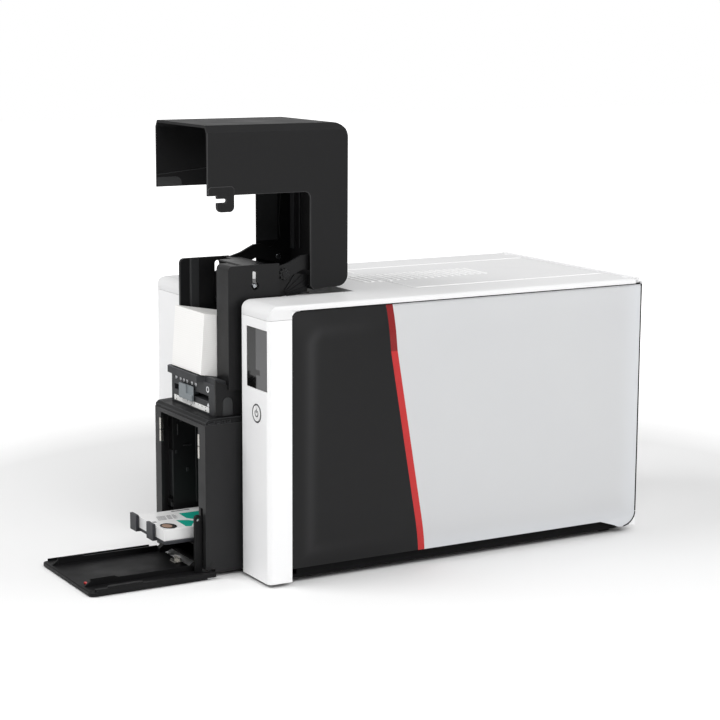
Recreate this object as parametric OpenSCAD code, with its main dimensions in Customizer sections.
// Desktop plastic card printer with a hinged feeder hood, a fold-down hopper door and a hinged top lid.
// Frame: +X right seen from the front, -Y front, +Z up, origin on the table under the middle of the body.

/* [Body] */
// Width of the body
body_w = 205; // [195:1:230]
// Depth of the body without the feeder and hopper
body_d = 354.6; // [350:1:390]
// Height of the flat top above the table
body_top = 219.1; // [218:0.5:230]
// Height of the seam between body and lid
seam_z = 208.4; // [207:0.1:209]
// Wall of the white shell
shell_wall = 2.5; // [2:0.1:3]
// Gap between shell and table
shell_z = 3; // [2:0.5:3.5]
// Radius of the upright front corners
corner_r = 4; // [2:0.5:6]
// Depth of the white columns in front of the side panels
column_d = 20.4; // [17:0.2:24]
// Left side of the recess between the columns
recess_x0 = -46.5; // [-48:0.5:-46]
// Right side of the recess between the columns
recess_x1 = 55; // [54.5:0.5:57]
// Rear end of the recess
recess_y1 = -76; // [-77:0.5:-74]

/* [Side panels] */
// Thickness of the side panels
panel_t = 3.2; // [2.5:0.1:3.5]
// Lower edge of the side panels
panel_z0 = 12.4; // [10:0.2:14]
// Drop of the foot at the rear of each panel
foot_drop = 7; // [4:0.5:7]
// Length of that foot
foot_l = 34; // [25:1:45]
// Width of the accent stripe
stripe_w = 6; // [4:0.5:8]
// Height at which the stripe bends
stripe_kink_z = 177; // [150:1:190]

/* [Display and button] */
// Width of the display
display_w = 33.3; // [30:0.1:34]
// Height of the display
display_h = 46.7; // [40:0.1:50]
// Distance from the middle of the display to the side of the body
display_in = 19.6; // [19:0.1:20.5]
// Middle height of the display
display_z = 177.2; // [176:0.1:178]
// Radius of the power button cap
button_r = 6.2; // [4.5:0.1:6.3]
// Outer radius of the button ring
ring_r = 7.3; // [7:0.1:8]
// Middle height of the button
button_z = 134.8; // [132:0.1:138]
// Travel of the button
button_travel = 1.2; // [0.6:0.1:1.4]

/* [Feeder hood] */
// Width of the hood
hood_w = 95.5; // [95:0.1:95.8]
// Middle of the hood across the body
hood_x = 4.25; // [4.1:0.05:4.4]
// Wall of the hood
hood_wall = 2; // [1.6:0.1:2.2]
// Height of the top of the open hood
hood_top = 352.8; // [350:0.1:356]
// Front edge of the open hood
hood_y0 = -202.5; // [-204:0.5:-200]
// Rear face of the open hood
hood_y1 = -80; // [-82:0.1:-79.5]
// Depth of the side walls of the horizontal arm
hood_arm_h = 53.3; // [50:0.1:56]
// Depth of the side walls of the upright arm
hood_arm_d = 33.6; // [30:0.1:36]
// Radius of the outer bend
hood_r = 12; // [8:0.5:14]
// Height of the hood hinge
hinge_z = 238.25; // [238:0.05:238.5]
// Place of the hood hinge along the body
hinge_y = -96.25; // [-96.5:0.05:-96]

/* [Feeder] */
// Right side of the feeder
feeder_x1 = 49.5; // [49:0.1:49.6]
// Left side of the feeder
feeder_x0 = -41; // [-41.2:0.1:-40.5]
// Wall of the feeder
feeder_wall = 3; // [2.5:0.1:3]
// Front of the feeder walls
feeder_y0 = -184.5; // [-186:0.5:-183]
// Top of the right feeder wall
feeder_top = 244.5; // [240:0.5:246]
// Rear edge of the upper feeder walls
feeder_back = -140; // [-141:0.5:-136]
// Depth of the front pillars
pillar_d = 9.2; // [6:0.2:11]
// Tilt of the card bed, falling to the rear
bed_tilt = 10; // [8:0.5:11]
// Radius of the pickup roller
pickup_r = 7.2; // [6:0.2:7.4]

/* [Cards] */
// Length of a card
card_l = 85.6; // [84:0.1:86]
// Width of a card
card_w = 54; // [53:0.1:54.2]
// Height of the blank stack
stack_h = 49; // [20:0.2:49.2]
// Height of the printed stack
printed_h = 9.2; // [3:0.2:9.5]
// Front face of the blank stack
stack_y0 = -198.2; // [-199:0.1:-197.5]

/* [Thickness gauge] */
// Left side of the gauge block
gauge_x0 = -34; // [-35:0.5:-32]
// Right side of the gauge block
gauge_x1 = 44.5; // [43:0.5:45.5]
// Front face of the gauge block
gauge_y0 = -195; // [-196:0.5:-194]
// Width of the slider knob
slider_w = 24; // [18:1:26]
// Travel of the slider to the right
slider_travel = 30; // [26:1:31]

/* [Hopper] */
// Left side of the hopper
hopper_x0 = -42; // [-43:0.5:-41]
// Right side of the hopper
hopper_x1 = 52; // [51:0.5:52.5]
// Front face of the hopper
hopper_y0 = -206.5; // [-208:0.5:-205.5]
// Rear of the hopper
hopper_y1 = -100; // [-104:1:-98]
// Top of the hopper
hopper_top = 122; // [121:0.5:122.5]
// Wall of the hopper
hopper_wall = 2.2; // [1.8:0.1:2.6]
// Length of the door
door_l = 105.5; // [98:0.5:107]
// Thickness of the door plate
door_t = 2.5; // [2:0.1:2.6]
// Height of the door hinge
door_hinge_z = 10; // [9.5:0.1:10.5]
// Travel of the card tray into the hopper
tray_travel = 36; // [35.5:0.5:38]

/* [Mechanism] */
// Left side plate, outer face
frame_x0 = -64; // [-68:1:-62]
// Right side plate, outer face
frame_x1 = 66; // [64:1:70]
// Thickness of the side plates
frame_t = 1.8; // [1.6:0.1:2.5]
// Height of the card path
path_z = 150; // [149:0.5:151]
// Radius of the platen roller
platen_r = 7; // [6:0.1:7.5]
// Radius of every steel shaft
shaft_r = 3; // [2.5:0.1:3.2]
// Radial play of a shaft in its bore
shaft_play = 0.05; // [0.02:0.01:0.08]
// Gear module
gear_m = 1; // [0.9:0.05:1]
// Teeth of the platen gear
platen_teeth = 24; // [22:2:26]
// Teeth of the motor pinion
pinion_teeth = 12; // [12:1:12]
// Radius of the ribbon rolls
ribbon_r = 13; // [10:0.5:14]

/* [Hidden] */
$fn = 48;

WHITE = "#f2f2f2";
GREY = "#d6d7d9";
BLACK = "#2b2b2c";
DARK = "#1d1d1e";
RED = "#c42a2a";
STEEL = "#b9bcc0";
STEEL_BLUE = "#8d9ba6";
BOARD = "#1d5a38";

eps = 0.01;
seam = 0.3;          // open seam between two covers
slide_gap = 0.3;     // play beside a sliding piece

x_out = body_w / 2;
y_front = -177.3;                      // front face of the columns
y_rear = y_front + body_d;
panel_y0 = y_front + column_d + seam;  // front edge of the side panels
display_x = x_out - display_in;
x_side = x_out - panel_t - 0.3;        // outer face of the side wall behind a panel
cover_t = 2.5;                         // thickness of the rear cover
rear_y0 = y_rear - 6.1;                // front of the rear cover's rim
deck_z = seam_z - shell_wall;
lid_z0 = seam_z + seam;
panel_z1 = body_top - 4.4;             // top edge of the side panels
panel_y1 = y_rear - 2.9;               // rear edge of the side panels

feed_mid = (feeder_x0 + feeder_x1) / 2;
hopper_mid = (hopper_x0 + hopper_x1) / 2;
frame_mid = (frame_x0 + frame_x1) / 2;

// ---------- shapes that repeat ----------

module block(a, b) { translate(a) cube(b - a); }

// YZ outline extruded from x0 to x1
module slab(x0, x1) { translate([x0, 0, 0]) rotate([90, 0, 90]) linear_extrude(x1 - x0) children(); }

// round bar along X
module bar_x(x0, x1, y, z, r) { translate([x0, y, z]) rotate([0, 90, 0]) cylinder(r = r, h = x1 - x0); }

// round bar along Y
module bar_y(y0, y1, x, z, r) { translate([x, y0, z]) rotate([-90, 0, 0]) cylinder(r = r, h = y1 - y0); }

// rectangle between two corners with four round ones
module round_rect(a, b, r) {
  translate([a[0] + r, a[1]]) square([b[0] - a[0] - 2 * r, b[1] - a[1]]);
  translate([a[0], a[1] + r]) square([b[0] - a[0], b[1] - a[1] - 2 * r]);
  for (x = [a[0] + r, b[0] - r], y = [a[1] + r, b[1] - r]) translate([x, y]) circle(r = r);
}

// rectangle whose two corners towards -Y are round
module front_round(x0, x1, y0, y1, r) {
  translate([x0, y0 + r]) square([x1 - x0, y1 - y0 - r]);
  translate([x0 + r, y0]) square([x1 - x0 - 2 * r, 2 * r]);
  for (x = [x0 + r, x1 - r]) translate([x, y0 + r]) circle(r = r);
}

module mirrored(left) { if (left) mirror([1, 0, 0]) children(); else children(); }

// XZ outline extruded from y0 to y1
module y_prism(y0, y1) { translate([0, y1, 0]) rotate([90, 0, 0]) linear_extrude(y1 - y0) children(); }

// upright plate with its flat along YZ, centred corners at a and b
module yz_plate(x0, x1, a, b, r) { slab(x0, x1) round_rect(a, b, r); }

// ---------- base ----------

pan_z = 4;
pan_t = 3;
pan_side = x_side - shell_wall - 0.3;
rim_y0 = -150;
foot_r = 8;
foot_x = x_out - 22.5;
foot_in = 22.3;

module base_pan() {
  color(DARK) difference() {
    union() {
      block([-pan_side, y_front + 8, pan_z], [pan_side, rear_y0 - 3, pan_z + pan_t]);
      // rim that the shell and the rear cover close onto
      block([-pan_side, rim_y0, pan_z], [pan_side, rear_y0 - 3, panel_z0 + 2]);
    }
    block([-pan_side + pan_t, rim_y0 + pan_t, pan_z + pan_t],
          [pan_side - pan_t, rear_y0 - 3 - pan_t, panel_z0 + 3]);
    block([recess_x0 - shell_wall - 0.3, y_front - 1, pan_z - 1],
          [recess_x1 + shell_wall + 0.3, recess_y1 + shell_wall + 0.3, panel_z0 + 3]);
    for (y = [-20 : 16 : y_rear - 36]) block([-30, y, pan_z - 1], [30, y + 5, pan_z + pan_t + 1]);
  }
}

module feet() {
  color(DARK) for (x = [-foot_x, foot_x], y = [y_front + foot_in, y_rear - foot_in])
    translate([x, y, 0]) cylinder(r = foot_r, h = pan_z);
}

// ---------- white shell ----------

module shell_outline(main_only = false) {
  difference() {
    union() {
      if (!main_only) for (c = [[-x_out, recess_x0], [recess_x1, x_out]])
        front_round(c[0], c[1], y_front, y_front + column_d, corner_r);
      translate([-x_side, y_front + column_d - 1]) square([2 * x_side, rear_y0 - y_front - column_d + 1]);
    }
    translate([recess_x0, y_front - 1]) square([recess_x1 - recess_x0, recess_y1 - y_front + 1]);
  }
}

module shell_cavity() {
  w = shell_wall;
  for (c = [[-x_out + w, recess_x0 - w], [recess_x1 + w, x_out - w]])
    translate([c[0], y_front + w]) square([c[1] - c[0], column_d - 2 * w]);
  for (c = [[-x_side + w, recess_x0 - w], [recess_x1 + w, x_side - w]])
    translate([c[0], y_front + w]) square([c[1] - c[0], recess_y1 - y_front + 1]);
  translate([-x_side + w, recess_y1 + w]) square([2 * (x_side - w), rear_y0 - recess_y1]);
}

module display_cut(grow, depth) {
  translate([display_x - display_w / 2 - grow, y_front - 1, display_z - display_h / 2 - grow])
    cube([display_w + 2 * grow, depth + 1, display_h + 2 * grow]);
}

module body_shell() {
  color(WHITE) difference() {
    union() {
      difference() {
        union() {
          translate([0, 0, shell_z]) linear_extrude(deck_z - shell_z + eps) intersection() {
            shell_outline();
            translate([-x_out, y_front]) square([2 * x_out, column_d]);
          }
          translate([0, 0, panel_z0]) linear_extrude(deck_z - panel_z0 + eps) shell_outline(true);
          // inner walls of the recess reach down beside the hopper
          for (c = [[recess_x0 - shell_wall, recess_x0], [recess_x1, recess_x1 + shell_wall]])
            block([c[0], y_front + column_d - 1, shell_z], [c[1], recess_y1, panel_z0 + 1]);
        }
        translate([0, 0, shell_z - 1]) linear_extrude(deck_z) shell_cavity();
      }
      translate([0, 0, deck_z]) linear_extrude(shell_wall) difference() {
        shell_outline();
        translate([-58, recess_y1 + 12]) square([116, 200]);
      }
    }
    display_cut(0.2, shell_wall + 2);
    bar_y(y_front - 1, y_front + shell_wall + 1, display_x, button_z, ring_r + 0.05);
  }
}

// ---------- rear cover ----------

lid_axis_y = y_rear - 8.8;
barrel_r = 3.1;
lid_axis_z = body_top - barrel_r;
ear_x = x_out - 14.5;                  // middle of the hinge ears
ear_x0 = ear_x - 4;
ear_x1 = ear_x + 4;
lid_pin_r = 1.25;
inlet_x = 32.5 - x_out;
inlet_z = 40;
usb_x = x_out - 62.5;
net_x = x_out - 40.5;
port_z = 34;
fan_x = 20;
fan_z = 120;
fan_r = 19;

module rear_cover() {
  w = cover_t;
  z0 = panel_z0 - foot_drop;
  color(WHITE) difference() {
    union() {
      block([-x_out, y_rear - w, z0], [x_out, y_rear, body_top]);
      difference() {
        block([-x_side, rear_y0, z0], [x_side, y_rear, body_top - cover_t]);
        block([-x_side + w, rear_y0 - 1, z0 + w], [x_side - w, y_rear + 1, lid_axis_z - barrel_r - 2]);
        // room for the lid's round rear edge
        block([-x_side - 1, rear_y0 - 1, lid_axis_z - barrel_r - 2.1], [x_side + 1, rear_y0 + 0.6, body_top]);
      }
      block([-x_out, rear_y0 + 0.6, body_top - cover_t], [x_out, y_rear, body_top]);
      for (s = [-1, 1]) {
        bar_x(s > 0 ? ear_x0 : -ear_x1, s > 0 ? ear_x1 : -ear_x0, lid_axis_y, lid_axis_z, barrel_r);
        block([s > 0 ? ear_x0 : -ear_x1, lid_axis_y, lid_axis_z - barrel_r],
              [s > 0 ? ear_x1 : -ear_x0, rear_y0 + 2, body_top]);
      }
    }
    for (s = [-1, 1]) bar_x(s * ear_x - 6, s * ear_x + 6, lid_axis_y, lid_axis_z, lid_pin_r);
    block([inlet_x - 14, y_rear - w - 1, inlet_z - 10], [inlet_x + 14, y_rear + 1, inlet_z + 10]);
    block([usb_x - 6.5, y_rear - w - 1, port_z - 6], [usb_x + 6.5, y_rear + 1, port_z + 6]);
    block([net_x - 8.5, y_rear - w - 1, port_z - 7], [net_x + 8.5, y_rear + 1, port_z + 7]);
    for (i = [-3 : 3]) let (h = sqrt(fan_r * fan_r - i * i * 25))
      block([fan_x + i * 5 - 1.4, y_rear - w - 1, fan_z - h], [fan_x + i * 5 + 1.4, y_rear + 1, fan_z + h]);
    // lock slot
    block([ear_x0, y_rear - w - 1, 60], [ear_x0 + 7, y_rear + 1, 63]);
  }
}

// ---------- side panels ----------

function stripe_y(z) = z > stripe_kink_z
  ? -66.5 - 3.6 * (z - stripe_kink_z) / (panel_z1 - stripe_kink_z)
  : -66.5 + 28.3 * (stripe_kink_z - z) / (stripe_kink_z - panel_z0);

function stripe_edge(side) =
  [for (z = [panel_z0, stripe_kink_z, panel_z1]) [stripe_y(z) + side * stripe_w / 2, z]];

module panel_outline() {
  front_r = 7;
  rear_r = 5;
  toe_r = 12;
  z0 = panel_z0 - foot_drop;
  difference() {
    union() {
      translate([panel_y0, panel_z0]) square([panel_y1 - panel_y0, panel_z1 - panel_z0 - front_r]);
      translate([panel_y0 + front_r, panel_z1 - front_r - 1])
        square([panel_y1 - panel_y0 - front_r - rear_r, front_r + 1]);
      translate([panel_y0 + front_r, panel_z1 - front_r]) circle(r = front_r);
      translate([panel_y1 - rear_r, panel_z1 - rear_r]) circle(r = rear_r);
      translate([panel_y1 - front_r - 1, panel_z1 - front_r - 1]) square([front_r + 1, front_r + 1 - rear_r]);
      // foot at the rear
      polygon([[panel_y1 - foot_l, panel_z0 + 1], [panel_y1 - foot_l, panel_z0], [panel_y1 - toe_r, z0],
               [panel_y1, z0 + toe_r], [panel_y1, panel_z0 + toe_r]]);
      translate([panel_y1 - toe_r, z0 + toe_r]) circle(r = toe_r);
    }
    translate([panel_y1, z0 - 1]) square([20, 100]);
  }
}

module panel_part(x0, x1, from, to) {
  slab(x0, x1) intersection() { panel_outline(); polygon(concat(from, to)); }
}

function flip(points) = [for (i = [len(points) - 1 : -1 : 0]) points[i]];
function far_edge(y) = [[y, panel_z0 - foot_drop - 1], [y, panel_z1 + 1]];
function grown(edge) =
  [[edge[0][0], edge[0][1] - 10], edge[0], edge[1], edge[2], [edge[2][0], edge[2][1] + 10]];

module rear_side_panel(left) {
  mirrored(left) color(GREY)
    panel_part(x_out - panel_t, x_out, grown(stripe_edge(1)), flip(far_edge(panel_y1 + 1)));
}

module front_side_panel(left) {
  mirrored(left) color(BLACK)
    panel_part(x_out - panel_t, x_out, far_edge(panel_y0 - 1), flip(grown(stripe_edge(-1))));
}

module accent_stripe(left) {
  mirrored(left) color(RED)
    panel_part(x_out - panel_t, x_out, grown(stripe_edge(-1)), flip(grown(stripe_edge(1))));
}

module side_panel_right() { rear_side_panel(false); }
module side_panel_left() { rear_side_panel(true); }
module front_panel_right() { front_side_panel(false); }
module front_panel_left() { front_side_panel(true); }
module accent_stripe_right() { accent_stripe(false); }
module accent_stripe_left() { accent_stripe(true); }

// ---------- display and power button ----------

window_t = 1.2;

module display_window() {
  color("#3c4146") intersection() {
    display_cut(0, 30);
    block([0, y_front + 0.2, 0], [x_out, y_front + 0.2 + window_t, body_top]);
  }
}

module display_module() {
  y0 = y_front + 0.2 + window_t;
  color(BOARD) difference() {
    union() {
      block([display_x - display_w / 2 + 1, y0, display_z - display_h / 2 + 1],
            [display_x + display_w / 2 - 1, y0 + 4, display_z + display_h / 2 - 1]);
      block([display_x - display_w / 2 - 1, y_front + shell_wall, button_z - ring_r + 1],
            [x_out - shell_wall - 0.2, y_front + shell_wall + 1.4, button_z - ring_r + 1 + eps]);
      // board behind the display and the button
      block([display_x - 14, y0 + 4, button_z - 11], [display_x + 14, y0 + 5.6, display_z + display_h / 2 - 1]);
    }
    block([0, y_front, button_z - 20], [x_out, y_front + 4.4, button_z - ring_r + 2]);
  }
}

ring_depth = 3.4;
board_y = y_front + 0.2 + window_t + 4;      // front face of the board behind the button

module button_ring() {
  color("#4a4c4f") difference() {
    bar_y(y_front - 0.4, y_front + ring_depth, display_x, button_z, ring_r);
    bar_y(y_front - 1, y_front + ring_depth + 1, display_x, button_z, button_r + 0.08);
  }
}

module power_button() {
  color(WHITE) {
    bar_y(y_front - 0.2, y_front + 1.6, display_x, button_z, button_r);
    bar_y(y_front + 1.6, board_y - button_travel - 0.3, display_x, button_z, 1.2);
  }
}

module button_spring() {
  color(STEEL) difference() {
    bar_y(y_front + 1.6 + button_travel + 0.2, board_y, display_x, button_z, 2.6);
    bar_y(y_front, board_y + 1, display_x, button_z, 1.8);
  }
}

// ---------- inner mechanism ----------

frame_y0 = -62;
frame_y1 = y_rear - 27.3;
frame_z0 = pan_z + pan_t;
frame_top = 200;
platen_y = 20;
platen_z = path_z - platen_r;
clean_y = -50;
clean_r = 6.9;
clean_z = path_z + clean_r + 0.3;
takeup_y = -30;
supply_y = 75;
spool_z = 178;
centre_dist = gear_m * (platen_teeth + pinion_teeth) / 2 + 0.3;
motor_z = platen_z - centre_dist;
bore_r = shaft_r + shaft_play;
motor_side = 28;

module mech_frame() {
  color("#3a3b3d") difference() {
    union() {
      block([frame_x0, frame_y0, frame_z0], [frame_x1, frame_y1, frame_z0 + frame_t]);
      for (x = [frame_x0, frame_x1 - frame_t])
        block([x, frame_y0, frame_z0], [x + frame_t, frame_y1, frame_top]);
      // card bed under the print line
      block([frame_x0, frame_y0, path_z - 2.4], [frame_x1, frame_y1 - 20, path_z - 0.4]);
      block([frame_x0, frame_y1 - 2, frame_z0], [frame_x1, frame_y1, 60]);
    }
    for (p = [[platen_y, platen_z], [clean_y, clean_z], [takeup_y, spool_z], [supply_y, spool_z]])
      bar_x(frame_x0 - 1, frame_x1 + 1, p[0], p[1], bore_r);
    bar_x(frame_x1 - frame_t - 1, frame_x1 + 1, platen_y, motor_z, shaft_r + 1);
    // window of the platen
    block([frame_mid - 32, platen_y - platen_r - 1.5, path_z - 5],
          [frame_mid + 32, platen_y + platen_r + 1.5, path_z + 1]);
    // lightening windows
    for (y = [50, 90]) block([frame_x0 - 1, y, 40], [frame_x1 + 1, y + 30, 120]);
  }
}

module gear(teeth, h, bore) {
  rp = gear_m * teeth / 2;
  ri = rp - 1.15 * gear_m;
  ro = rp + 0.7 * gear_m;
  a = 360 / teeth;
  linear_extrude(h) difference() {
    union() {
      circle(r = ri);
      for (i = [0 : teeth - 1]) rotate(i * a) polygon([
        [(ri - 0.2) * cos(0.21 * a), -(ri - 0.2) * sin(0.21 * a)], [ro * cos(0.1 * a), -ro * sin(0.1 * a)],
        [ro * cos(0.1 * a), ro * sin(0.1 * a)], [(ri - 0.2) * cos(0.21 * a), (ri - 0.2) * sin(0.21 * a)]]);
    }
    circle(r = bore);
  }
}

gear_x = frame_x1 + 1;
gear_w = 6;

module platen_roller() {
  color(DARK) bar_x(frame_mid - 29, frame_mid + 29, platen_y, platen_z, platen_r);
  color(STEEL) bar_x(frame_x0 - 2, gear_x + gear_w, platen_y, platen_z, shaft_r);
}

module platen_gear() {
  color("#e8e6df") translate([gear_x, platen_y, platen_z]) rotate([0, 90, 0])
    gear(platen_teeth, gear_w, shaft_r);
}

module motor_pinion() {
  color("#c8a24a") translate([gear_x, platen_y, motor_z]) rotate([0, 90, 0]) rotate(180 / pinion_teeth)
    gear(pinion_teeth, gear_w, 1.5);
}

module motor(x0, len, y, z, shaft_to) {
  half = motor_side / 2;
  color("#2a2a2c") block([x0, y - half, z - half], [x0 + len, y + half, z + half]);
  if (shaft_to > 0) color(STEEL) bar_x(x0 + len - eps, shaft_to, y, z, 1.45);
}

module card_motor() {
  len = 26;
  motor(frame_x1 - frame_t - len, len, platen_y, motor_z, gear_x + gear_w);
}

module ribbon_motor() { motor(frame_x0 + frame_t, 22, takeup_y, 128, 0); }

module cleaning_roller() {
  color("#c9c3e0") bar_x(frame_mid - 28, frame_mid + 28, clean_y, clean_z, clean_r);
  color(STEEL) bar_x(frame_x0 - 2, frame_x1 + 2, clean_y, clean_z, shaft_r);
}

module spool(y, roll_r, tint) {
  color(tint) bar_x(frame_mid - 29, frame_mid + 29, y, spool_z, roll_r);
  color("#e8e8e8") {
    for (x = [frame_mid - 31.5, frame_mid + 29]) bar_x(x, x + 2.5, y, spool_z, ribbon_r + 1.5);
    bar_x(frame_x0 - 2, frame_x1 + 2, y, spool_z, shaft_r);
  }
}

module supply_spool() { spool(supply_y, ribbon_r, "#d8b400"); }
module takeup_spool() { spool(takeup_y, ribbon_r - 5, "#262626"); }

board_y0 = -40;
board_y1 = y_rear - 37.3;
board_z0 = frame_z0 + 6;
board_z1 = board_z0 + 97;
board_t = 1.6;

module main_board() {
  wall_x = x_side - shell_wall;
  x = wall_x - 5;
  color(BOARD) {
    block([x, board_y0, board_z0], [x + board_t, board_y1, board_z1]);
    for (y = [board_y0 + 20, board_y0 + 70, board_y0 + 120]) block([x - 6, y, 40], [x + eps, y + 26, 60]);
    // standoffs onto the side wall
    for (y = [board_y0 + 10, board_y1 - 20], z = [board_z0 + 7, board_z1 - 10])
      bar_x(x + board_t - eps, wall_x, y, z, 2.5);
  }
}

supply_l = 120;
supply_h = 70;

module power_supply() {
  color("#8c9094") block([-pan_side + pan_t + seam, board_y1 - supply_l, frame_z0],
                         [frame_x0 - 6, board_y1, frame_z0 + supply_h]);
}

fan_y1 = y_rear - cover_t;
fan_hub_r = 6;

module fan_housing() {
  s = 22;
  color(DARK) difference() {
    block([fan_x - s, fan_y1 - 12, fan_z - s], [fan_x + s, fan_y1, fan_z + s]);
    bar_y(fan_y1 - 13, fan_y1 - 2.5, fan_x, fan_z, fan_r + 1);
    difference() {
      bar_y(fan_y1 - 3, fan_y1 + 1, fan_x, fan_z, fan_r + 1);
      bar_y(fan_y1 - 4, fan_y1 + 2, fan_x, fan_z, fan_hub_r);
      for (a = [0, 90]) translate([fan_x, fan_y1 - 1.25, fan_z]) rotate([0, a, 0])
        cube([2.5, 4, 2 * fan_r + 4], center = true);
    }
  }
  color(STEEL) bar_y(fan_y1 - 9, fan_y1 - 2.4, fan_x, fan_z, 1);
}

module fan_rotor() {
  color("#3b3c3e") difference() {
    union() {
      bar_y(fan_y1 - 10, fan_y1 - 3.2, fan_x, fan_z, fan_hub_r);
      for (i = [0 : 6]) translate([fan_x, fan_y1 - 6.6, fan_z]) rotate([0, i * 360 / 7, 0]) rotate([0, 0, 35])
        translate([-0.6, -3.2, fan_hub_r - 1]) cube([1.2, 6.4, fan_r - fan_hub_r]);
    }
    bar_y(fan_y1 - 11, fan_y1, fan_x, fan_z, 1 + shaft_play);
  }
}

module port(x, z, w, h, depth, tint) {
  color(tint) difference() {
    block([x - w / 2, y_rear - depth, z - h / 2], [x + w / 2, y_rear - 0.3, z + h / 2]);
    block([x - w / 2 + 1, y_rear - depth + 2, z - h / 2 + 1], [x + w / 2 - 1, y_rear + 1, z + h / 2 - 1]);
  }
}

module power_inlet() {
  port(inlet_x, inlet_z, 28, 20, 22, DARK);
  color(STEEL) for (x = [-7, 0, 7])
    block([inlet_x + x - 0.8, y_rear - 21, inlet_z - 2], [inlet_x + x + 0.8, y_rear - 4, inlet_z + 2]);
}
module usb_port() { port(usb_x, port_z, 13, 12, 16, STEEL); }
module network_port() { port(net_x, port_z, 17, 14, 18, STEEL); }

// ---------- feeder ----------

left_top = feeder_top - 3.5;
feeder_z0 = hopper_top + 4.9;
lower_back = -105;
lug_w = 10;
lower_top = 203;
card_x0 = feed_mid - 3.75 - card_w / 2;
card_x1 = card_x0 + card_w;
stack_y1 = stack_y0 + card_l;
bed_z = 157.3;
pickup_y = -128;
tilt = tan(bed_tilt);
function bed_at(y) = bed_z - tilt * (y - stack_y0);
pickup_z = bed_at(pickup_y) - pickup_r - 0.3;
pillar_right_x = card_x1 + 1.5;
pillar_left_x = card_x0 - 1.5;

module wall_outline(top) {
  r = 4;
  translate([feeder_y0, feeder_z0]) square([feeder_back - feeder_y0, top - r - feeder_z0]);
  translate([feeder_y0 + r, top - r - 1]) square([feeder_back - feeder_y0 - r, r + 1]);
  translate([feeder_y0 + r, top - r]) circle(r = r);
  translate([feeder_back - 1, feeder_z0]) square([lower_back - feeder_back + 1, lower_top - feeder_z0]);
}

// blocks that fasten a housing to the rear wall of the recess
module recess_lugs(y0, z0, z1) {
  for (x = [feeder_x0 + 1, feeder_x1 - 1 - lug_w]) block([x, y0 - 1, z0], [x + lug_w, recess_y1, z1]);
}

module guide_slot(x0, x1, y, z0, z1, w) {
  slab(x0, x1) {
    translate([y - w / 2, z0]) square([w, z1 - w / 2 - z0]);
    translate([y, z1 - w / 2]) circle(r = w / 2);
  }
}

cheek_x1 = 47.2;                       // right face of the cheek
cheek_y = -178;
cheek_z = 148.5;
cheek_back = -158;
rib_y0 = -176.5;                       // rib on the inner face of the left wall
rib_y1 = -168;
rib_d = 1.2;
arch_y = -184.3;
arch_r = 4.7;
arch_rise = 10.4;
arch_d = 0.8;
slot_w = 5.2;
slot_right_y = -161.3;
slot_left_y = -151;
slot_foot_z = 228;

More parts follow.
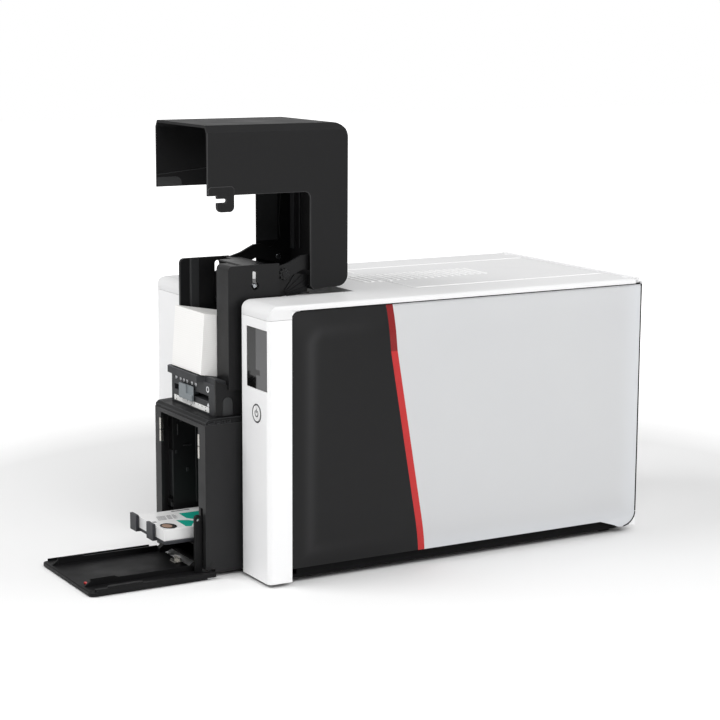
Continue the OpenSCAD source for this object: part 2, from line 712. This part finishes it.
module feeder_housing() {
  w = feeder_wall;
  color(BLACK) difference() {
    union() {
      slab(feeder_x1 - w, feeder_x1) wall_outline(feeder_top);
      slab(feeder_x0, feeder_x0 + w) wall_outline(left_top);
      // front pillars: the right one is as high as its wall, the left one ends beside the cards
      slab(pillar_right_x, feeder_x1 - 1) intersection() {
        wall_outline(feeder_top);
        translate([feeder_y0, feeder_z0]) square([pillar_d, feeder_top - feeder_z0]);
      }
      block([feeder_x0 + 1, feeder_y0, feeder_z0], [pillar_left_x, feeder_y0 + pillar_d, lower_top - 3]);
      // cheek beside the gauge block, falling to the rear
      slab(gauge_x1 + seam, cheek_x1) polygon([
        [gauge_y0, feeder_z0], [gauge_y0, lip_z1 - 1], [cheek_y, cheek_z], [cheek_back, cheek_z],
        [cheek_back, feeder_z0]]);
      // upright rib on the inner face of the left wall
      translate([0, 0, lower_top - 4]) linear_extrude(left_top - lower_top - 1) polygon([
        [feeder_x0 + w - eps, rib_y0], [feeder_x0 + w + rib_d, rib_y0 + 1], [feeder_x0 + w - eps, rib_y1]]);
      // bottom, lower front and rear wall
      block([feeder_x0, feeder_y0, feeder_z0], [feeder_x1, lower_back, feeder_z0 + 2.4]);
      block([feeder_x0, feeder_y0, feeder_z0], [feeder_x1, feeder_y0 + w, bed_at(feeder_y0) - 0.6]);
      block([feeder_x0, stack_y1 + 0.6, feeder_z0], [feeder_x1, lower_back, lower_top]);
      recess_lugs(lower_back, 150, 162);
      // tilted card bed
      slab(feeder_x0 + 1, feeder_x1 - 1) polygon([
        [feeder_y0, bed_at(feeder_y0)], [stack_y1 + 1, bed_at(stack_y1 + 1)],
        [stack_y1 + 1, bed_at(stack_y1 + 1) - w], [feeder_y0, bed_at(feeder_y0) - w]]);
      // side guides that keep the cards square
      for (x = [pillar_left_x - 1.2, pillar_right_x])
        slab(x, x + 1.2) polygon([
          [feeder_y0, bed_at(feeder_y0)], [feeder_y0, lower_top - 3], [stack_y1 + 1, lower_top - 3],
          [stack_y1 + 1, bed_at(stack_y1 + 1) - 1], [feeder_y0, bed_at(feeder_y0) - 1]]);
    }
    // the right wall stands on the cheek
    block([cheek_x1, feeder_y0 - 1, feeder_z0 - 1], [feeder_x1 + 1, cheek_back, cheek_z - 1]);
    // arch pressed into the cheek
    slab(cheek_x1 - arch_d, cheek_x1 + 1) {
      translate([arch_y - arch_r, feeder_z0 - 1]) square([2 * arch_r, arch_rise + 1]);
      translate([arch_y, feeder_z0 + arch_rise]) circle(r = arch_r);
    }
    guide_slot(feeder_x1 - w - 1, feeder_x1 + 1, slot_right_y, slot_foot_z, 240.5, slot_w - 1);
    bar_x(feeder_x1 - w - 1, feeder_x1 + 1, slot_right_y, slot_foot_z, 3.3);
    guide_slot(feeder_x0 - 1, feeder_x0 + w + 1, slot_left_y, slot_foot_z - 4, 238, slot_w);
    // window of the pickup roller in the bed
    block([feed_mid - 14, pickup_y - pickup_r - 1, pickup_z - 3],
          [feed_mid + 14, pickup_y + pickup_r + 1, bed_z]);
    bar_x(feeder_x0 - 1, feeder_x1 + 1, pickup_y, pickup_z, bore_r);
    // card exit slot at the rear
    block([card_x0 - 1, lower_back - 12, bed_at(stack_y1) - 0.5],
          [card_x1 + 1, lower_back + 1, bed_at(stack_y1) + 2]);
  }
}

module pickup_roller() {
  color(DARK) bar_x(feed_mid - 12, feed_mid + 12, pickup_y, pickup_z, pickup_r);
  color(STEEL) bar_x(feeder_x0, feeder_x1, pickup_y, pickup_z, shaft_r);
}

bridge_y0 = -157;
bridge_x0 = -24;
bridge_t = 2.6;
bracket_t = 2.6;
bracket_y0 = feeder_back - 6;

module feeder_bridge() {
  z1 = left_top - 0.6;
  x0 = feeder_x0 + feeder_wall;
  x1 = feeder_x1 - feeder_wall;
  color("#3a3b3d") {
    slab(bridge_x0, x1 - bracket_t) polygon([
      [bridge_y0, z1 - bridge_t], [bridge_y0, z1 - 0.8], [bridge_y0 + 0.8, z1],
      [feeder_back + 6, z1], [feeder_back + 6, z1 - bridge_t]]);
    // front bar onto the right wall, rear strip onto the left bracket
    block([x1 - 10, bridge_y0 + 0.8, z1 - bridge_t], [x1, bracket_y0 - seam, z1]);
    block([x0 + bracket_t, feeder_back - 5, z1 - bridge_t], [bridge_x0 + 1, feeder_back + 6, z1]);
    for (x = [x0 + bracket_t, x1 - bracket_t - 4])
      block([x, feeder_back - 5, z1 - 9], [x + 4, feeder_back, z1 - bridge_t + eps]);
  }
}

module blank_cards() {
  // the stack leans back a little
  color("white") slab(card_x0, card_x1) polygon([
    [stack_y0, bed_at(stack_y0)], [stack_y0 + stack_lean, bed_at(stack_y0 + stack_lean) + stack_h],
    [stack_y1, bed_at(stack_y1) + stack_h], [stack_y1, bed_at(stack_y1)]]);
}

stack_lean = 3.5;
weight_y0 = -149;
weight_y1 = -120;
ear_t = 2.4;
ear_gap = 0.5;
weight_pin_r = 1.5;
weight_low_z = bed_at(weight_y0) + stack_h;      // front lower edge of the weight

module card_weight() {
  color(DARK) difference() {
    union() {
      slab(card_x0 + 1, card_x1 - 1) polygon([
        [weight_y0, weight_low_z], [weight_y0 + 1, lower_top + 4.5],
        [weight_y0 + 12, lower_top + 4.5], [weight_y1, weight_low_z + 4],
        [weight_y1, bed_at(weight_y1) + stack_h]]);
      // arm that carries the right ear
      block([card_x1 - 4, slot_right_y - 4, lower_top + 1.5], [card_x1 + 2, weight_y0 + 3, lower_top + 4.5]);
      // ears that reach out to the guide pins
      for (e = [[feeder_x0 + feeder_wall + ear_gap, card_x0 + 3, slot_left_y],
                [card_x1 - 3, feeder_x1 - feeder_wall - ear_gap, slot_right_y]]) {
        block([e[0], e[2] - 4, lower_top + 1.5], [e[1], e[2] + 5, lower_top + 4.5]);
        slab(e[2] == slot_left_y ? e[0] : e[1] - ear_t, e[2] == slot_left_y ? e[0] + ear_t : e[1])
          translate([e[2] - 3, lower_top + 1.5]) square([6, slot_foot_z + 1.4 - lower_top - 1.5]);
      }
    }
    // finger hollow on top
    bar_x(card_x0 + 14, card_x1 - 14, weight_y0 + 9, lower_top + 10, 8);
    bar_x(feeder_x0, feeder_x1, slot_left_y, slot_foot_z, weight_pin_r);
    bar_x(feeder_x0, feeder_x1, slot_right_y, slot_foot_z, weight_pin_r);
  }
}

module weight_pins() {
  w = feeder_wall;
  color(STEEL) {
    bar_x(feeder_x0 + 0.5, feeder_x0 + w + ear_gap + ear_t, slot_left_y, slot_foot_z, weight_pin_r);
    bar_x(feeder_x1 - w - ear_gap - ear_t, feeder_x1 - 0.5, slot_right_y, slot_foot_z, weight_pin_r);
  }
}

// ---------- gauge ----------

lip_y0 = -200.5;
lip_z1 = 156.6;
gauge_top = 151;
scale_z0 = feeder_z0 + 1.5;
scale_h = 4.2;
slot_z0 = 137;
slot_z1 = 141.6;
slot_x0 = gauge_x0 + 5.3;
slider_x0 = slot_x0 + 14.7;
tongue_x0 = slider_x0 + 3;
tongue_w = 15.5;
slot_x1 = tongue_x0 + tongue_w + slider_travel + slide_gap;
slider_z0 = 133;
slider_z1 = 145;

module gauge_block() {
  y1 = feeder_y0;
  color("#58595b") difference() {
    union() {
      block([gauge_x0, gauge_y0, feeder_z0], [gauge_x1, y1, gauge_top + 0.5]);
      // upper step follows the tilt of the bed
      slab(22, gauge_x1) polygon([
        [gauge_y0 + 1, gauge_top], [gauge_y0 + 1, lip_z1], [y1, bed_at(y1) - 0.8], [y1, gauge_top]]);
      // front lip under the cards
      translate([0, 0, gauge_top]) linear_extrude(lip_z1 - gauge_top) polygon([
        [gauge_x0 + 2, lip_y0 + 2], [gauge_x0 + 4, lip_y0], [24, lip_y0], [29, y1], [gauge_x0 + 2, y1]]);
    }
    // room for the tilted stack above
    slab(gauge_x0 - 1, gauge_x1 + 1) polygon([
      [lip_y0 - 1, bed_at(lip_y0 - 1) - seam], [lip_y0 - 1, lip_z1 + 5],
      [y1 + 1, lip_z1 + 5], [y1 + 1, bed_at(y1 + 1) - seam]]);
    block([slot_x0, gauge_y0 - 1, slot_z0], [slot_x1, y1 - 3, slot_z1]);
    // latch recess on the right side
    slab(gauge_x1 - 1.6, gauge_x1 + 1) {
      translate([-191, feeder_z0 - 1]) square([6, 9]);
      translate([-188, feeder_z0 + 8]) circle(r = 3);
    }
    block([gauge_x0 + 3, gauge_y0 + 3, feeder_z0 - 1], [gauge_x1 - 4, y1 + 1, slot_z0 - 3]);
  }
}

module gauge_scale() {
  color("white") block([slot_x0, gauge_y0 - 0.4, scale_z0], [slot_x1 + 1, gauge_y0, scale_z0 + scale_h]);
}

module gauge_slider() {
  color(STEEL_BLUE) {
    difference() {
      block([slider_x0, gauge_y0 - 3.2, slider_z0],
            [slider_x0 + slider_w, gauge_y0 - slide_gap - 0.4, slider_z1]);
      // grip hollow in the knob
      block([slider_x0 + 13.2, gauge_y0 - 4, slider_z0 + 5],
            [slider_x0 + slider_w + 1, gauge_y0 - 1.8, slider_z1 + 1]);
    }
    block([tongue_x0, gauge_y0 - 1, slot_z0 + slide_gap],
          [tongue_x0 + tongue_w, feeder_y0 - 4, slot_z1 - slide_gap]);
  }
}

// ---------- hood and its hinge ----------

hood_x0 = hood_x - hood_w / 2;
hood_x1 = hood_x + hood_w / 2;
hood_under = hood_top - hood_arm_h;
hood_inner_y = hood_y1 - hood_arm_d;
tail_z = 222;
tail_rise = 1.5;
tail_r = 9;
hood_cham_x = 3.5;                     // chamfer along the top side edges
hood_cham_z = 5.6;
hinge_pin_r = 2.5;
hood_bend_r = 5;

// side view of the hood, d inside its outer surface
module hood_side(d) {
  r = hood_r - d;
  difference() {
    union() {
      translate([hood_y0 - d, hood_under - d]) square([hood_y1 - hood_y0 - r, hood_top - hood_under]);
      translate([hood_y1 - d - r, hood_under]) square([r, hood_top - d - r - hood_under]);
      translate([hood_y1 - d - r, hood_top - d - r]) circle(r = r);
      polygon([
        [hood_inner_y - d / 2, hood_top - hood_r], [hood_inner_y - d / 2, tail_z + d + 3],
        [hood_inner_y + 3 - d / 2, tail_z + d], [hood_y1 - tail_r, tail_z + tail_rise + d],
        [hood_y1 - d, tail_z + tail_rise + tail_r], [hood_y1 - d, hood_top - hood_r]]);
      translate([hood_y1 - tail_r, tail_z + tail_rise + tail_r]) circle(r = tail_r - d);
    }
    // flat top: cuts what the front square leaves above the inner surface
    translate([hood_y0 - d - 1, hood_top - d]) square([hood_y1 - hood_y0, 2 * d + 1]);
  }
  // round inner bend
  translate([hood_inner_y - hood_bend_r, hood_under - hood_bend_r]) difference() {
    square(hood_bend_r + eps);
    circle(r = hood_bend_r);
  }
}

// front view of the hood: outer surface, or the hollow when inner is true
module hood_front(inner) {
  w = inner ? hood_wall : 0;
  cx = inner ? hood_cham_x - 0.9 : hood_cham_x;
  cz = inner ? hood_cham_z - 1.4 : hood_cham_z;
  polygon([[hood_x0 + w, tail_z - 1], [hood_x0 + w, hood_top - w - cz], [hood_x0 + w + cx, hood_top - w],
           [hood_x1 - w - cx, hood_top - w], [hood_x1 - w, hood_top - w - cz], [hood_x1 - w, tail_z - 1]]);
}

module feeder_hood() {
  color(BLACK) difference() {
    intersection() {
      slab(hood_x0, hood_x1) hood_side(0);
      y_prism(hood_y0 - 1, hood_y1 + 1) hood_front(false);
    }
    intersection() {
      slab(hood_x0, hood_x1) hood_side(hood_wall);
      y_prism(hood_y0 - 10, hood_y1) hood_front(true);
    }
    bar_x(hood_x0 - 1, hood_x1 + 1, hinge_y, hinge_z, hinge_pin_r + shaft_play);
  }
}

hook_y0 = -202.3;
hook_y1 = -180.2;
hook_drop = 12.7;
hook_slot_z = hood_under - 3.8;
hook_plate = 0.8;                      // how far the plate stands proud of the wall

module hook_plate_outline() {
  round_rect([hook_y0, hood_under], [hook_y1, hood_under + 7], 3);
  round_rect([hook_y0 + 7.2, hood_under - hook_drop], [hook_y1, hood_under + 7], 4);
  translate([hook_y0, hood_under]) square([8, 4]);
}

module hood_hook() {
  // latch plate on the right wall, with a slot open to the front
  color(BLACK) difference() {
    union() {
      slab(hood_x1, hood_x1 + hook_plate) hook_plate_outline();
      slab(hood_x1 - hood_wall, hood_x1 + eps) intersection() {
        hook_plate_outline();
        translate([hook_y0 - 1, hood_under - 20]) square([40, 20]);
      }
    }
    slab(hood_x1 - hood_wall - 1, hood_x1 + hook_plate + 1) {
      translate([hook_y0 - 1, hook_slot_z - 1.5]) square([hook_y1 - 8.2 - hook_y0 + 1, 3]);
      translate([hook_y1 - 8.2, hook_slot_z]) circle(r = 1.5);
    }
  }
}

stop_r = 1.2;
stop_y = hinge_y - (hood_under - hook_drop - hinge_z) + stop_r + seam;
stop_z = hinge_z + (hook_y1 - 8 - hinge_y);

module hood_stop_pin() {
  color(STEEL) bar_x(feeder_x1, hood_x1, stop_y, stop_z, stop_r);
}

module hinge_bracket(x0) {
  color(BLACK) difference() {
    slab(x0, x0 + bracket_t) {
      // foot screwed to the feeder wall, arm rising to the rear, eye round the pin
      polygon([[bracket_y0, 229], [feeder_back - 3, 227], [feeder_back + 3, 229], [feeder_back + 8, 232],
               [hinge_y - 21, hinge_z], [hinge_y - 3, hinge_z - 4.6], [hinge_y + 3, hinge_z + 4.6],
               [hinge_y - 16.5, hinge_z + 11.3], [hinge_y - 23, hinge_z + 11], [feeder_back + 9, 243.6],
               [feeder_back - 2, 240.4], [bracket_y0, 238]]);
      translate([hinge_y, hinge_z]) circle(r = 5.2);
    }
    bar_x(x0 - 1, x0 + bracket_t + 1, hinge_y, hinge_z, hinge_pin_r);
  }
}

bracket_right_x = feeder_x1 - feeder_wall - bracket_t;
bracket_left_x = feeder_x0 + feeder_wall;

module hinge_bracket_right() { hinge_bracket(bracket_right_x); }
module hinge_bracket_left() { hinge_bracket(bracket_left_x); }

module hood_hinge_pins() {
  color(STEEL) {
    bar_x(bracket_right_x, hood_x1, hinge_y, hinge_z, hinge_pin_r);
    bar_x(hood_x0, bracket_left_x + bracket_t, hinge_y, hinge_z, hinge_pin_r);
  }
}

// ---------- hopper ----------

hopper_z0 = 3.5;
flange_left = 11;
flange_right = 13;
open_x0 = hopper_x0 + flange_left;
open_x1 = hopper_x1 - flange_right;
open_z0 = 16;
open_z1 = hopper_top - 3.5;
guide_y0 = -196;
door_axis_y = hopper_y0 + 6;
arm_x0 = open_x1 + 4;
arm_x1 = arm_x0 + 3;
arm_top = 50;
tray_y0 = -236;
tray_z1 = 28.5;
tray_t = 2.4;
tray_wing_y1 = -150;
groove_d = 1.8;
clip_w = 2.6;
clip_h = 9.4;
clip_z0 = 94;

module hopper_housing() {
  w = hopper_wall;
  color(BLACK) difference() {
    union() {
      block([hopper_x0, hopper_y0, hopper_z0], [hopper_x1, hopper_y1, hopper_top]);
      recess_lugs(hopper_y1, 24, 36);
      recess_lugs(hopper_y1, 96, 108);
    }
    // room between the outer walls
    block([hopper_x0 + w, hopper_y0 + 2.5, open_z0], [hopper_x1 - w, guide_y0, open_z1]);
    // card room between the guides
    block([open_x0, guide_y0 - 1, open_z0], [open_x1, hopper_y1 - w, open_z1]);
    // opening of the front frame
    block([open_x0, hopper_y0 - 1, hopper_z0 - 1], [open_x1, hopper_y0 + 3, open_z1]);
    block([open_x0, hopper_y0 - 1, hopper_z0 - 1], [open_x1, guide_y0, open_z0 + 1]);
    // track of the door's lift arm
    block([arm_x0 - 0.5, hopper_y0 - 1, open_z0 - 4], [arm_x1 + 0.5, -150, arm_top + 5]);
    // rounded foot under the front
    block([hopper_x0 - 1, hopper_y0 - 1, hopper_z0 - 1], [hopper_x1 + 1, hopper_y0 + 8, hopper_z0 + 3]);
    bar_x(hopper_x0 - 1, hopper_x1 + 1, door_axis_y, door_hinge_z, 1.5);
    clip_blocks();
    // grooves that the tray runs in
    block([open_x0 - groove_d, guide_y0 - 1, tray_z1 - tray_t - slide_gap],
          [open_x1 + groove_d, tray_wing_y1 + tray_travel + 2, tray_z1 + slide_gap]);
    // hollows that lighten the guides
    for (x = [hopper_x0 + w, open_x1 + 2]) block([x, guide_y0 + 3, 60], [x + 6, hopper_y1 - 4, open_z1]);
  }
}

module hopper_ledge() {
  z0 = hopper_top;
  z1 = feeder_z0;
  color("#434446") difference() {
    union() {
      block([hopper_x0, feeder_y0, z0], [hopper_x1, hopper_y1, z1]);
      // sloping shelf in front of the gauge block
      slab(hopper_x0, hopper_x1) polygon([
        [hopper_y0 + 0.5, z0], [hopper_y0 + 0.5, z0 + 2.2], [hopper_y0 + 3, z1 - 0.6],
        [gauge_y0, z1], [feeder_y0 + 1, z1], [feeder_y0 + 1, z0]]);
    }
    // slots in the right end: place along the body, length
    for (c = [[-203.5, 5], [-196, 2.4], [-191.5, 2.4], [-187, 2.4]])
      block([hopper_x1 - 1, c[0], z0 + 1], [hopper_x1 + 1, c[0] + c[1], z0 + 2.6]);
  }
}

module clip_blocks() {
  for (x = [open_x0 - clip_w, open_x1], z = [clip_z0, clip_z0 + clip_h + 0.6])
    block([x, hopper_y0 - 0.3, z], [x + clip_w, hopper_y0 + 2, z + clip_h]);
}

module hopper_clips() { color(STEEL) clip_blocks(); }

module door_hinge_pins() {
  color(STEEL) {
    bar_x(hopper_x0 + 1, open_x0 + 6.5, door_axis_y, door_hinge_z, 1.5);
    bar_x(open_x1 - 6.5, hopper_x1 - 1, door_axis_y, door_hinge_z, 1.5);
  }
}

door_x0 = hopper_x0 - 2.6;
door_x1 = hopper_x1 + 5.5;
door_y1 = hopper_y0 - 1.5;
door_y0 = hopper_y0 + 6 - door_l;
door_z0 = 0.8;
door_z1 = door_z0 + door_t;
rail_t = 1.6;
rail_h = 6;
rim_right_w = 3.5;
rim_right_h = 2.6;
rim_left_w = 1.2;
rim_left_h = 1.8;

module hopper_door() {
  rails = [open_x0 + 0.5, open_x1 - 0.5 - rail_t];
  color(BLACK) difference() {
    union() {
      translate([0, 0, door_z0]) linear_extrude(door_t) front_round(door_x0, door_x1, door_y0, door_y1, 5);
      // side rails with a step near the far end
      for (x = rails) {
        block([x, door_y0 + 8, door_z1 - eps], [x + rail_t, door_y1 - 4, door_z1 + rail_h - 1.5]);
        block([x, door_y0 + 8, door_z1 - eps], [x + rail_t, door_y0 + 28, door_z1 + rail_h]);
      }
      // rims outside the hopper; the right one reaches past its front
      block([door_x1 - rim_right_w, door_y0 + 5, door_z0 + 1], [door_x1, hopper_y0 + 6, door_z1 + rim_right_h]);
      block([door_x0, door_y0 + 5, door_z0 + 1], [door_x0 + rim_left_w, door_y1 - 5, door_z1 + rim_left_h]);
      // far lip
      block([door_x0 + 5, door_y0 + 1, door_z1 - eps], [door_x1 - 5, door_y0 + 3, door_z1 + 0.4]);
      // hinge eyes
      for (x = [open_x0 + 0.6, open_x1 - 6.6]) slab(x, x + 6) {
        polygon([[door_y1 - 4, door_z0], [door_y1 - 4, door_z1 + 3], [door_axis_y - 2, door_hinge_z + 3.6],
                 [door_axis_y + 3, door_hinge_z - 2.6], [door_axis_y, door_hinge_z - 5]]);
        translate([door_axis_y, door_hinge_z]) circle(r = 4);
      }
      // lift arm of the tray
      yz_plate(arm_x0, arm_x1, [hopper_y0 - 6.5, door_z0 + 0.4], [hopper_y0 - 0.5, arm_top], 2.9);
    }
    for (x = [open_x0, open_x1 - 7]) bar_x(x, x + 7, door_axis_y, door_hinge_z, 1.5 + shaft_play);
    bar_x(arm_x0 - 1, arm_x1 + 1, hopper_y0 - 3.5, arm_top - 4, 1.5);
  }
}

module door_clip() {
  color(STEEL) {
    block([2, door_y1 - 3, door_z1], [12, door_y1 - 1, door_z1 + 3]);
    block([2, door_y1 - 7, door_z1], [12, door_y1 - 1, door_z1 + 0.8]);
  }
}

pcard_x0 = hopper_mid - 0.5 - card_w / 2;

module card_tray() {
  color("#4b4c4e") {
    block([pcard_x0 - 2, tray_y0 + 3, tray_z1 - tray_t],
          [pcard_x0 + card_w + 2, tray_y0 + 3 + card_l + 3, tray_z1]);
    // wings that run in the grooves of the hopper
    block([open_x0 - groove_d + slide_gap, guide_y0 + 0.5, tray_z1 - tray_t],
          [open_x1 + groove_d - slide_gap, tray_wing_y1, tray_z1]);
    // two front fingers
    for (x = [pcard_x0 - 5.9, pcard_x0 + 26.5]) {
      block([x, tray_y0, tray_z1 - 3], [x + 12, tray_y0 + 2.6, tray_z1 + 10.5]);
      block([x, tray_y0, tray_z1 - 3], [x + 12, tray_y0 + 6, tray_z1 - 0.6]);
    }
  }
}

module printed_cards() {
  y0 = tray_y0 + 3;
  color("white") block([pcard_x0, y0, tray_z1], [pcard_x0 + card_w, y0 + card_l, tray_z1 + printed_h]);
}

// ---------- lid ----------

lid_wall = 2.5;
lid_front_r = body_top - lid_z0 - 1;
lid_edge_r = body_top - panel_z1 - 0.8;
centre_x = 60.3;
centre_y0 = -22.3;
centre_y1 = y_rear - 14;
centre_t = 1.2;
vent_x0 = -22;
vent_x1 = 15;

module vents(z0, z1) {
  for (y = concat([-42, -35.2, -28.4], [for (i = [0 : 14]) -17.5 + i * 6.7]))
    block([vent_x0, y, z0], [vent_x1, y + 2, z1]);
}

module lid_outline() {
  difference() {
    union() {
      for (c = [[-x_out, recess_x0], [recess_x1, x_out]])
        front_round(c[0], c[1], y_front, y_front + column_d, corner_r);
      translate([-x_side, y_front + column_d - 1]) square([2 * x_side, lid_axis_y - y_front - column_d + 1]);
    }
    translate([recess_x0, y_front - 1]) square([recess_x1 - recess_x0, recess_y1 - y_front + 1]);
  }
}

// side view of the lid, d inside its surface: the front edge is round over nearly the full height
module lid_side(d) {
  r = lid_front_r - d;
  translate([y_front + d + r, lid_z0 - 2]) square([y_rear - y_front, body_top - d - lid_z0 + 2]);
  translate([y_front + d, lid_z0 - 2]) square([2 * r, body_top - d - r - lid_z0 + 2]);
  translate([y_front + d + r, body_top - d - r]) circle(r = r);
}

// front view of the lid: the side edges are round above the panels, in four flats
module lid_front() {
  r = lid_edge_r;
  edge = [for (a = [0 : 22.5 : 90]) [x_out - r * (1 - cos(a)), body_top - r * (1 - sin(a))]];
  polygon(concat([[x_out, lid_z0 - 2]], edge, [for (p = flip(edge)) [-p[0], p[1]]], [[-x_out, lid_z0 - 2]]));
}

module lid_inside() {
  w = lid_wall;
  for (c = [[-x_side + w, recess_x0 - w], [recess_x1 + w, x_side - w]])
    translate([c[0], y_front + w]) square([c[1] - c[0], recess_y1 - y_front + 1]);
  translate([-x_side + w, recess_y1 + w]) square([2 * (x_side - w), lid_axis_y - 12 - recess_y1]);
}

module top_lid() {
  color(WHITE) difference() {
    union() {
      difference() {
        intersection() {
          union() {
            translate([0, 0, lid_z0]) linear_extrude(body_top - lid_z0) lid_outline();
            // band over the side panels
            for (s = [-1, 1]) block([s > 0 ? x_side - 1 : -x_out, panel_y0 - 1, panel_z1 + 0.4],
                                    [s > 0 ? x_out : -x_side + 1, lid_axis_y, body_top]);
          }
          slab(-x_out - 1, x_out + 1) lid_side(0);
          y_prism(y_front - 1, y_rear + 1) lid_front();
        }
        intersection() {
          translate([0, 0, lid_z0 - 1]) linear_extrude(body_top - lid_wall - lid_z0 + 1) lid_inside();
          slab(-x_out - 1, x_out + 1) lid_side(lid_wall);
        }
        block([-x_side - 1, lid_axis_y - 9, lid_z0 - 1], [x_side + 1, lid_axis_y + 1, lid_axis_z - 1]);
      }
      bar_x(-x_side, x_side, lid_axis_y, lid_axis_z, barrel_r);
      // ribs that carry the print head
      for (x = [frame_mid - 38, frame_mid + 35]) block([x, 2, lid_z0], [x + 3, 38, body_top - lid_wall]);
    }
    block([-centre_x, centre_y0, body_top - centre_t], [centre_x, centre_y1, body_top + 1]);
    vents(lid_z0 - 1, body_top + 1);
    for (s = [-1, 1]) {
      block([s > 0 ? ear_x0 - 0.4 : -ear_x1 - 0.4, lid_axis_y - barrel_r - 0.5, lid_axis_z - barrel_r - 1],
            [s > 0 ? ear_x1 + 0.4 : -ear_x0 + 0.4, lid_axis_y + barrel_r + 1, body_top + 1]);
      bar_x(s * ear_x - 10, s * ear_x + 10, lid_axis_y, lid_axis_z, lid_pin_r + shaft_play);
    }
  }
}

module lid_panel() {
  color("#ececec") difference() {
    block([-centre_x + seam, centre_y0 + seam, body_top - centre_t],
          [centre_x - seam, centre_y1 - seam, body_top]);
    vents(body_top - 5, body_top + 1);
  }
}

module lid_hinge_pins() {
  color(STEEL) for (s = [-1, 1]) bar_x(s * ear_x - 9, s * ear_x + 9, lid_axis_y, lid_axis_z, lid_pin_r);
}

head_y0 = 10;
head_y1 = 30;

module print_head() {
  color("#77797c") {
    block([frame_mid - 34.9, head_y0, 186], [frame_mid + 34.9, head_y1, body_top - lid_wall]);
    block([frame_mid - 33, head_y0 + 4, path_z + 2.5], [frame_mid + 33, head_y1 - 2, 186 + eps]);
  }
}

// ---------- assembly ----------

base_pan();
feet();
body_shell();
rear_cover();
side_panel_right();
side_panel_left();
front_panel_right();
front_panel_left();
accent_stripe_right();
accent_stripe_left();
display_module();
display_window();
button_ring();
power_button();
button_spring();
mech_frame();
main_board();
power_supply();
fan_housing();
fan_rotor();
power_inlet();
usb_port();
network_port();
feeder_housing();
feeder_bridge();
gauge_block();
gauge_scale();
gauge_slider();
blank_cards();
card_weight();
weight_pins();
hinge_bracket_right();
hinge_bracket_left();
hood_hinge_pins();
hood_stop_pin();
feeder_hood();
hood_hook();
hopper_housing();
hopper_ledge();
hopper_clips();
door_hinge_pins();
hopper_door();
door_clip();
card_tray();
printed_cards();
top_lid();
lid_panel();
lid_hinge_pins();
print_head();
platen_roller();
platen_gear();
motor_pinion();
card_motor();
ribbon_motor();
pickup_roller();
cleaning_roller();
supply_spool();
takeup_spool();
